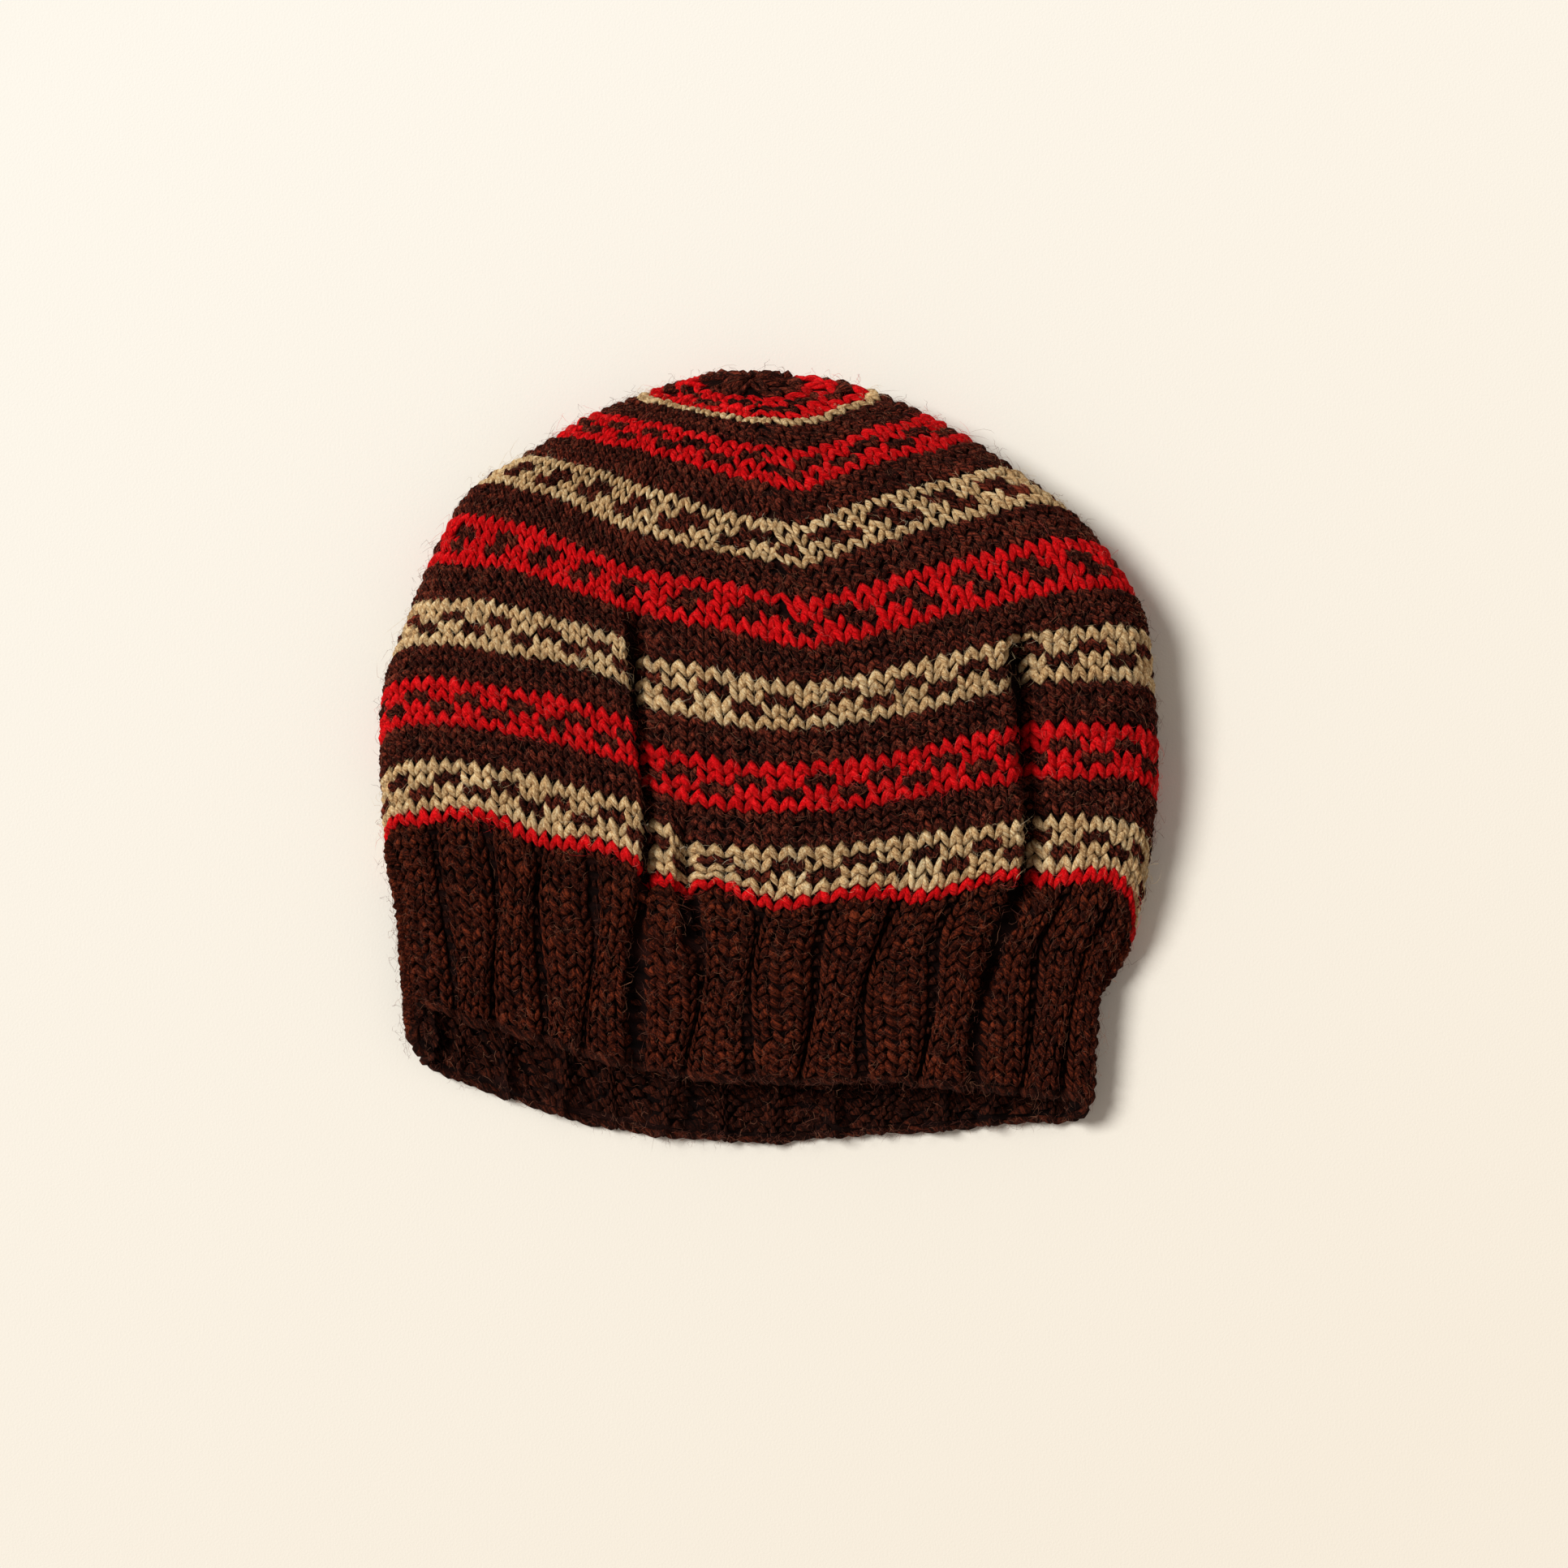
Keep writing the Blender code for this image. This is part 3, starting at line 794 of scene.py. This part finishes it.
def yarn_material(name, dark, middle, light, sheen_colour, contrast=1.0):
    """Matt two-ply wool: streaks of three shades that run round the yarn with its twist."""
    material = bpy.data.materials.new(name)
    material.use_nodes = True
    tree = material.node_tree
    link = tree.links.new
    shader = tree.nodes["Principled BSDF"]
    shader.inputs["Roughness"].default_value = 0.9
    shader.inputs["Specular IOR Level"].default_value = 0.08
    shader.inputs["Sheen Weight"].default_value = 0.15
    shader.inputs["Sheen Roughness"].default_value = 0.5
    shader.inputs["Sheen Tint"].default_value = sheen_colour
    place = node(tree, "ShaderNodeTexCoord")
    yarn = node(tree, "ShaderNodeSeparateXYZ")
    link(place.outputs["UV"], yarn.inputs["Vector"])
    tone = node(tree, "ShaderNodeAttribute", attribute_name="tone").outputs["Fac"]
    twisted = math_node(tree, "MULTIPLY_ADD", yarn.outputs["Y"], TWIST, yarn.outputs["X"])
    plies = math_node(tree, "COSINE", math_node(tree, "MULTIPLY", twisted, 2 * math.tau))
    streak_place = node(tree, "ShaderNodeCombineXYZ")
    link(math_node(tree, "MULTIPLY", twisted, STREAKS_AROUND), streak_place.inputs["X"])
    link(math_node(tree, "MULTIPLY", yarn.outputs["Y"], STREAKS_ALONG), streak_place.inputs["Y"])
    link(math_node(tree, "MULTIPLY", tone, STREAKS_JUMP), streak_place.inputs["Z"])
    streaks = node(tree, "ShaderNodeTexNoise", Scale=1.0, Detail=3.0, Roughness=0.7)
    link(streak_place.outputs["Vector"], streaks.inputs["Vector"])
    flecks = node(tree, "ShaderNodeTexNoise", Scale=FLECK_SCALE, Detail=2.0, Roughness=0.6)
    link(place.outputs["Object"], flecks.inputs["Vector"])
    # The ply wave darkens the grooves between the plies a little: painted shade
    mixed = math_node(tree, "MULTIPLY_ADD", plies, PLY_GROOVE_PAINTED_SHADE, streaks.outputs["Fac"])
    mixed = math_node(tree, "MULTIPLY_ADD", tone, TONE_SHADE, mixed)
    mixed = math_node(tree, "MULTIPLY_ADD", flecks.outputs["Fac"], FLECK_SHADE, mixed)
    ramp = node(tree, "ShaderNodeValToRGB")
    ramp.color_ramp.elements[0].position = MIDDLE_AT - DARK_BELOW / contrast
    ramp.color_ramp.elements[0].color = dark
    ramp.color_ramp.elements[1].position = MIDDLE_AT + LIGHT_ABOVE / contrast
    ramp.color_ramp.elements[1].color = light
    ramp.color_ramp.elements.new(MIDDLE_AT).color = middle
    link(mixed, ramp.inputs["Fac"])
    link(ramp.outputs["Color"], shader.inputs["Base Color"])
    relief = math_node(tree, "MULTIPLY_ADD", plies, PLY_RELIEF, streaks.outputs["Fac"])
    relief = math_node(tree, "MULTIPLY_ADD", flecks.outputs["Fac"], FLECK_RELIEF, relief)
    bump = node(tree, "ShaderNodeBump", Strength=1.0, Distance=0.0007)
    link(relief, bump.inputs["Height"])
    link(bump.outputs["Normal"], shader.inputs["Normal"])
    return material


brown_wool = yarn_material(
    "brown_ground_wool", srgb(8, 2, 1), srgb(45, 12, 8), srgb(136, 58, 40), srgb(150, 80, 60), 1.1,
)
rib_wool = yarn_material(
    "brown_rib_wool", srgb(10, 3, 1), srgb(48, 13, 7), srgb(124, 52, 28), srgb(150, 70, 40), 1.0,
)
red_wool = yarn_material(
    "red_wool", srgb(140, 0, 6), srgb(218, 5, 14), srgb(255, 40, 44), srgb(255, 70, 60), 0.8,
)
beige_wool = yarn_material(
    "natural_beige_wool",
    srgb(134, 92, 54), srgb(216, 178, 126), srgb(255, 238, 194), srgb(255, 230, 190), 0.8,
)
# A brown far darker than the yarn, for the purl valleys of the band, its inside and the cast-on edge:
# painted shade
wool_painted_in_shade = yarn_material(
    "brown_wool_with_painted_shade", srgb(7, 2, 1), srgb(34, 11, 6), srgb(86, 36, 21), srgb(110, 54, 36), 1.0,
)
# An almost black brown for the walls behind the stitches: painted shade in the gaps and inside the cap
backing_wool_painted_shade = yarn_material(
    "brown_wool_behind_painted_shade", srgb(5, 1, 1), srgb(16, 5, 4), srgb(36, 14, 10), srgb(60, 30, 20), 1.0,
)
print("four yarns dyed, and two shades of brown for the inside")

# %% [markdown]
# ## Knit the body and the crown
#
# Each colour of yarn is a piece of its own. The brown ground is in two pieces, one up to
# the last full round and one for the part that narrows, because it has the most
# stitches.

# %% Stitches of the body and the crown
YARN_PIECES = (
    ("brown_stitches_of_body", "brown_body", brown_wool, 1.0, 1, 0.0),
    ("brown_stitches_of_crown", "brown_crown", brown_wool, 1.0, 2, 0.12),
    ("red_stitches", "red", red_wool, 1.18, 3, 0.0),
    ("beige_stitches", "beige", beige_wool, 1.14, 4, -0.12),
)
for piece_name, yarn, wool, swell, seed, fuller_in_crown in YARN_PIECES:
    knitted = copies_of(stitch_mesh, len(yarns[yarn]))
    lay(knitted, yarns[yarn], 2, swell, seed, fuller_in_crown)
    show(piece_name, knitted, wool, "striped_wool", "crown")

# %% [markdown]
# ## The ribbed band
#
# The band is knitted three, purled one: three wales of V stitches stand up as a rib, and
# the purled wale between two ribs is pulled in and shows as a narrow dark valley with
# small bumps across it. The bumps are in a darker wool than the ribs: painted shade in
# the valley.

# %% Knit wales and purl wales of the band
FIRST_BAND_ROW = -15
knit_wales = []
purl_wales = []
for band_row in range(FIRST_BAND_ROW, 0):
    for stitch in round_of_stitches(band_row):
        is_valley = stitch[3] % STITCHES_PER_RIB == RIB_VALLEY
        (purl_wales if is_valley else knit_wales).append(stitch[:3])


def purl_bump(reach, height, arc, thickness, width):
    """The bump of a purled stitch: a short arc of yarn across the wale."""
    bm = bmesh.new()
    path = [
        (-reach, -0.28, height - arc),
        (-reach * 0.52, 0.04, height - arc * 0.2),
        (0.0, 0.16, height),
        (reach * 0.52, 0.04, height - arc * 0.2),
        (reach, -0.28, height - arc),
    ]
    widths = [width * share for share in (0.55, 0.9, 1.0, 0.9, 0.55)]
    thicknesses = [thickness * share for share in (0.6, 0.9, 1.0, 0.9, 0.6)]
    bent_sphere(bm, path, widths, thicknesses, sides=6, rings=5, width_axis=1)
    bmesh.ops.recalc_face_normals(bm, faces=bm.faces)
    return bm


band_knit = copies_of(rib_stitch_mesh, len(knit_wales))
lay(band_knit, knit_wales, 2, 1.0, 5)
show("knit_wales_of_band", band_knit, rib_wool, "brown_rib", "rib_band")
purl_mesh = as_mesh("one_purl_bump", purl_bump(0.46, -0.0006, 0.0010, 0.0014, 0.30))
band_purl = copies_of(purl_mesh, len(purl_wales))
lay(band_purl, purl_wales, 1, 1.0, 6)
show("purl_wales_of_band", band_purl, wool_painted_in_shade, "brown_rib", "rib_band")

# %% [markdown]
# The inside of the band shows at the opening. Seen from there, every knitted stitch is a
# purl bump. The rim is the cast-on edge: one slanted bead of yarn for each stitch. The
# bumps and the beads are in a darker wool than the yarn: painted shade.

# %% Inside of the band and cast-on edge
INSIDE_ENDS = -5
SEEN_AT_OPENING_ENDS = -11
inside_mesh = as_mesh("one_inside_bump", purl_bump(0.52, -WALL - 0.0012, -0.0010, 0.0016, 0.46))
inside_stitches = [stitch for stitch in knit_wales + purl_wales if stitch[0] <= INSIDE_ENDS]
inside_stitches += [
    (row + 0.5, quarter, offset + 0.5)
    for row, quarter, offset in inside_stitches
    if row <= SEEN_AT_OPENING_ENDS
]
band_inside = copies_of(inside_mesh, len(inside_stitches))
lay(band_inside, inside_stitches, 1, 1.0, 7, uneven=1.8)
show("bumps_inside_band", band_inside, wool_painted_in_shade, "brown_rib", "rib_band")

bead_bm = bmesh.new()
bead_path = [
    (-1.1, 0.0, -WALL * 0.82),
    (-0.55, -0.02, -WALL * 0.76),
    (0.0, 0.0, -WALL * 0.74),
    (0.55, 0.10, -WALL * 0.76),
    (1.1, 0.30, -WALL * 0.82),
]
bead_widths = (0.34, 0.42, 0.46, 0.42, 0.34)
bead_thicknesses = [WALL * share for share in (0.42, 0.52, 0.56, 0.52, 0.42)]
bent_sphere(
    bead_bm, bead_path, bead_widths, bead_thicknesses, sides=6, rings=6, width_axis=1,
)
bmesh.ops.recalc_face_normals(bead_bm, faces=bead_bm.faces)
bead_mesh = as_mesh("one_bead", bead_bm)
rim_stitches = [stitch[:3] for stitch in round_of_stitches(RIM_ROW + 0.1)]
rim = copies_of(bead_mesh, len(rim_stitches))
lay(rim, rim_stitches, 1, 1.0, 8, uneven=1.3)
show("cast_on_edge", rim, wool_painted_in_shade, "brown_rib", "rib_band")

# %% [markdown]
# ## The fabric behind the stitches
#
# Behind the stitches lie the loops that join them and the strands of the colour that is
# not in use. They show only in the gaps and as the inside of the cap, so they are one
# closed wall for the body and one for the band: a grid wrapped round the cap for the
# outer face, one for the inner face, and a bridge at each open end. Their wool is almost
# black, far darker than the yarn: painted shade in the gaps and inside the cap.

# %% Walls behind the stitches
BACKING_DEPTH = 0.0016
BODY_ROW_STEP = 1.0
BAND_ROW_STEP = 0.5
ABOVE_RIM = 0.3
MERGE_DISTANCE = 1e-6


def wrapped_sheet(bm, rows, heights, per_round):
    """A grid wrapped round the cap at given rounds and heights; returns its end loops."""
    places = np.arange(per_round) * STITCHES / per_round
    rings = []
    for row, height in zip(rows, heights):
        row_array = np.full(per_round, float(row))
        drift = wander(row_array, places)
        sink = ribbed(row_array, places)[1]
        depth = np.full(per_round, height) + drift[2] + sink
        ring = on_fabric(row_array + drift[0], places + drift[1], depth)
        rings.append(ring)
    sheet = bmesh.ops.create_grid(
        bm, x_segments=per_round, y_segments=len(rows) - 1, size=1, calc_uvs=True,
    )
    ends = ([], [])
    for vert in sheet["verts"]:
        around_index = round((vert.co.x + 1) / 2 * per_round) % per_round
        along_index = round((vert.co.y + 1) / 2 * (len(rows) - 1))
        vert.co = rings[along_index][around_index]
        if along_index in (0, len(rows) - 1):
            ends[along_index > 0].append(vert)
    closing = bmesh.ops.find_doubles(bm, verts=sheet["verts"], dist=MERGE_DISTANCE)["targetmap"]
    bmesh.ops.weld_verts(bm, targetmap=closing)
    return [[vert for vert in end if vert.is_valid] for end in ends]


def open_edges(bm, verts):
    """The open edges that run between these vertices."""
    verts = set(verts)
    return [edge for edge in bm.edges if edge.is_boundary and set(edge.verts) <= verts]


def backing(name, rows, closed_at_tip):
    """A closed wall between the backs of the stitches and the inside of the cap."""
    bm = bmesh.new()
    bm.loops.layers.uv.verify()
    outer = wrapped_sheet(bm, rows, [-BACKING_DEPTH] * len(rows), STITCHES)
    inner = wrapped_sheet(bm, rows, [-WALL] * len(rows), STITCHES)
    bmesh.ops.bridge_loops(bm, edges=open_edges(bm, outer[0] + inner[0]))
    if closed_at_tip:
        for loop in (outer[1], inner[1]):
            bmesh.ops.holes_fill(bm, edges=open_edges(bm, loop), sides=0)
    else:
        bmesh.ops.bridge_loops(bm, edges=open_edges(bm, outer[1] + inner[1]))
    bmesh.ops.recalc_face_normals(bm, faces=bm.faces)
    return as_mesh(name, bm)


body_rows = np.arange(JOIN_ROW, TIP_ROW - BESIDE_TIP, BODY_ROW_STEP)
body_wall = backing("backing", body_rows, True)
show("fabric_behind_body", body_wall, backing_wool_painted_shade, "striped_wool", "crown")
band_rows = np.arange(RIM_ROW + ABOVE_RIM, JOIN_ROW + 0.1, BAND_ROW_STEP)
band_wall = backing("backing", band_rows, False)
show("fabric_behind_band", band_wall, backing_wool_painted_shade, "brown_rib", "rib_band")

# %% [markdown]
# ## Loose hairs
#
# Fine hairs stand off the wool everywhere and soften its outline. Each one is a very
# thin sphere with three sides, stretched and bent in an arc over the stitches. Most have
# the colour of the stitch they grow from, a shade lighter, and a few are pale. The rim
# and the inside of the band, where it shows at the opening, have hairs too.

# %% Loose hairs
HAIR_RADIUS = 0.00004
STITCH_PITCH = 0.0046
ROUND_PITCH = 0.0036
DOWN_THE_SIDES = 0.7
NEAR_THE_OUTLINE = 0.3
SHORTEST_HAIR = 0.0015
LENGTH_SHAPE = 4.0
LENGTH_SCALE = 0.0007
CURL = 1.3
WAVE = 0.5
WAVES_ALONG = 6
LIFT = 0.0006
ROOT_HEIGHTS = (-0.0003, 0.0004)
STANDING_SHARE = 0.2
STANDING_TILT = (0.3, 0.8)
LYING_TILT = 0.12
FEW_ARE_PALE = 4
INSIDE_HAIR_DEPTH = 0.0018
PAST_RIM = 1.5
MORE_AT_RIM = 6


def hairs(name, stitches, count, wool, slot_name, node_name, seed, inside=False):
    """Hairs that start from stitches chosen by chance, fewer at the sides and none below."""
    draw = np.random.RandomState(seed)
    bm = bmesh.new()
    bm.loops.layers.uv.verify()
    bmesh.ops.create_uvsphere(bm, u_segments=3, v_segments=4, radius=1, calc_uvs=True)
    bmesh.ops.recalc_face_normals(bm, faces=bm.faces)
    mesh = copies_of(as_mesh("one_hair", bm), count)
    local = coordinates_of_copies(mesh, count)
    t = np.arccos(np.clip(-local[:, :, 2], -1, 1)) / np.pi - 0.5
    row, quarter, offset = [np.array(column, dtype=float) for column in zip(*stitches)]
    root = place_of_wale(row, quarter, offset, 0.0)
    faces_up = nearest_knot(net_normals[:, :, 2], row, root) * (-1 if inside else 1)
    weight = np.clip(faces_up + DOWN_THE_SIDES, 0, None)
    weight = weight + np.exp(-(faces_up / NEAR_THE_OUTLINE) ** 2)
    chosen = draw.choice(len(stitches), count, p=weight / weight.sum())
    length = draw.gamma(LENGTH_SHAPE, LENGTH_SCALE, (count, 1)) + SHORTEST_HAIR
    heading = draw.uniform(0, 2 * np.pi, (count, 1))
    curl = draw.normal(0, CURL, (count, 1))
    wave = draw.normal(0, WAVE, (count, 1))
    turned = heading + curl * t + wave * np.sin(t * WAVES_ALONG)
    sideways = length * t * np.cos(turned) - local[:, :, 0] * HAIR_RADIUS * np.sin(turned)
    forward = length * t * np.sin(turned) + local[:, :, 0] * HAIR_RADIUS * np.cos(turned)
    stands = draw.uniform(0, 1, (count, 1)) < STANDING_SHARE
    lift = draw.exponential(LIFT, (count, 1))
    standing_tilt = draw.uniform(*STANDING_TILT, (count, 1))
    tilt = np.where(stands, standing_tilt, draw.normal(0, LYING_TILT, (count, 1)))
    height = draw.uniform(*ROOT_HEIGHTS, (count, 1)) + lift * np.cos(t * np.pi)
    height = height + tilt * length * np.where(stands, t + 0.5, t)
    if inside:
        height = -WALL - INSIDE_HAIR_DEPTH - height
    height = height + local[:, :, 1] * HAIR_RADIUS
    places = root[chosen][:, None] + draw.uniform(-0.5, 0.5, (count, 1)) + sideways / STITCH_PITCH
    rows = row[chosen][:, None] + draw.uniform(-0.6, 0.6, (count, 1)) + forward / ROUND_PITCH
    rows = np.clip(rows, RIM_ROW - PAST_RIM, TIP_ROW)
    move_vertices(mesh, on_fabric(rows, places, height))
    tone = draw.uniform(0, 1, (count, 1)) ** FEW_ARE_PALE
    point_attribute(mesh, "tone", np.broadcast_to(tone, t.shape))
    show(name, mesh, wool, slot_name, node_name)


def hair_material(name, near, pale):
    """Matt hairs between the colour of the yarn and a pale shade."""
    material = bpy.data.materials.new(name)
    material.use_nodes = True
    tree = material.node_tree
    shader = tree.nodes["Principled BSDF"]
    shader.inputs["Roughness"].default_value = 0.7
    tone = node(tree, "ShaderNodeAttribute", attribute_name="tone").outputs["Fac"]
    ramp = node(tree, "ShaderNodeValToRGB")
    ramp.color_ramp.elements[0].color = near
    ramp.color_ramp.elements[1].color = pale
    tree.links.new(tone, ramp.inputs["Fac"])
    tree.links.new(ramp.outputs["Color"], shader.inputs["Base Color"])
    return material


brown_hair = hair_material("brown_hairs", srgb(98, 42, 27), srgb(178, 120, 88))
red_hair = hair_material("red_hairs", srgb(214, 24, 28), srgb(250, 120, 110))
beige_hair = hair_material("beige_hairs", srgb(206, 180, 136), srgb(250, 240, 214))
brown_stitches = yarns["brown_body"] + yarns["brown_crown"]
hairs("hairs_of_body", brown_stitches, 7000, brown_hair, "striped_wool", "crown", 11)
hairs("hairs_of_band", knit_wales + rim_stitches, 3600, brown_hair, "brown_rib", "rib_band", 12)
hairs("hairs_of_red_stitches", yarns["red"], 2100, red_hair, "striped_wool", "crown", 13)
hairs("hairs_of_beige_stitches", yarns["beige"], 2100, beige_hair, "striped_wool", "crown", 14)
seen_inside = [stitch for stitch in inside_stitches if stitch[0] <= SEEN_AT_OPENING_ENDS]
seen_inside += MORE_AT_RIM * rim_stitches
hairs("hairs_inside_band", seen_inside, 1100, brown_hair, "brown_rib", "rib_band", 15, inside=True)

# %% [markdown]
# ## Floor, light and camera
#
# The cap lies on a plain pale surface and is seen from straight above. A sun lamp with
# a wide disc, so that its shadows are soft, shines from the upper left, and the world
# fills in the shadows. The floor's colour is painted lighter towards the upper left and
# darker away from it, as painted light.

# %% Floor
FLOOR_SIZE = 3.0
floor_bm = bmesh.new()
bmesh.ops.create_grid(floor_bm, x_segments=1, y_segments=1, size=FLOOR_SIZE / 2)
floor = bpy.data.objects.new("floor", as_mesh("floor", floor_bm))
bpy.context.scene.collection.objects.link(floor)
floor_material = bpy.data.materials.new("pale_floor")
floor_material.use_nodes = True
floor_shader = floor_material.node_tree.nodes["Principled BSDF"]
floor_shader.inputs["Roughness"].default_value = 0.95
floor_tree = floor_material.node_tree
floor_place = node(floor_tree, "ShaderNodeTexCoord").outputs["Object"]
floor_parts = node(floor_tree, "ShaderNodeSeparateXYZ")
floor_tree.links.new(floor_place, floor_parts.inputs["Vector"])
# The floor's colour is lighter towards the sun at the upper left and darker and warmer away from it:
# painted light
painted_light_fade = math_node(floor_tree, "MULTIPLY_ADD", floor_parts.outputs["Y"], -1.3, 0.5)
painted_light_fade = math_node(
    floor_tree, "MULTIPLY_ADD", floor_parts.outputs["X"], 0.7, painted_light_fade,
)
floor_painted_light_ramp = node(floor_tree, "ShaderNodeValToRGB")
floor_painted_light_ramp.color_ramp.elements[0].position = 0.1
floor_painted_light_ramp.color_ramp.elements[0].color = srgb(247, 247, 242)
floor_painted_light_ramp.color_ramp.elements[1].position = 0.9
floor_painted_light_ramp.color_ramp.elements[1].color = srgb(240, 235, 224)
floor_tree.links.new(painted_light_fade, floor_painted_light_ramp.inputs["Fac"])
floor_tree.links.new(floor_painted_light_ramp.outputs["Color"], floor_shader.inputs["Base Color"])
weave = node(floor_tree, "ShaderNodeTexNoise", Scale=1500.0, Detail=2.0)
floor_tree.links.new(floor_place, weave.inputs["Vector"])
weave_bump = node(floor_tree, "ShaderNodeBump", Strength=0.3, Distance=0.0002)
floor_tree.links.new(weave.outputs["Fac"], weave_bump.inputs["Height"])
floor_tree.links.new(weave_bump.outputs["Normal"], floor_shader.inputs["Normal"])
floor.data.materials.append(floor_material)

# %% Light and camera
CAMERA_HEIGHT = 1.6
FRAME_WIDTH_ON_FLOOR = 0.4652
SENSOR_WIDTH = 36.0
CAMERA_X = 0.0038
CAMERA_Y = -0.0081
SUN_ELEVATION = 52
SUN_TURNED_FROM_LEFT = 25
SUN_WIDTH = 22
SUN_STRENGTH = 3.0
WORLD_STRENGTH = 0.32
scene = bpy.context.scene
scene.view_settings.view_transform = "Standard"
world = bpy.data.worlds.new("soft_room")
scene.world = world
world.use_nodes = True
world.node_tree.nodes["Background"].inputs["Color"].default_value = srgb(255, 240, 228)
world.node_tree.nodes["Background"].inputs["Strength"].default_value = WORLD_STRENGTH

sun = bpy.data.lights.new("key", "SUN")
sun.energy = SUN_STRENGTH
sun.angle = math.radians(SUN_WIDTH)
sun.color = (1.0, 0.975, 0.93)
sun_lamp = bpy.data.objects.new("key", sun)
sun_lamp.rotation_euler = [
    math.radians(turn) for turn in (0, SUN_ELEVATION - 90, -SUN_TURNED_FROM_LEFT)
]
scene.collection.objects.link(sun_lamp)

lens = bpy.data.cameras.new("camera")
lens.sensor_width = SENSOR_WIDTH
lens.lens = SENSOR_WIDTH * CAMERA_HEIGHT / FRAME_WIDTH_ON_FLOOR
camera = bpy.data.objects.new("camera", lens)
camera.location = (CAMERA_X + net_shift[0], CAMERA_Y + net_shift[1], CAMERA_HEIGHT)
scene.collection.objects.link(camera)
scene.camera = camera
print("lens, mm:", round(lens.lens, 1))
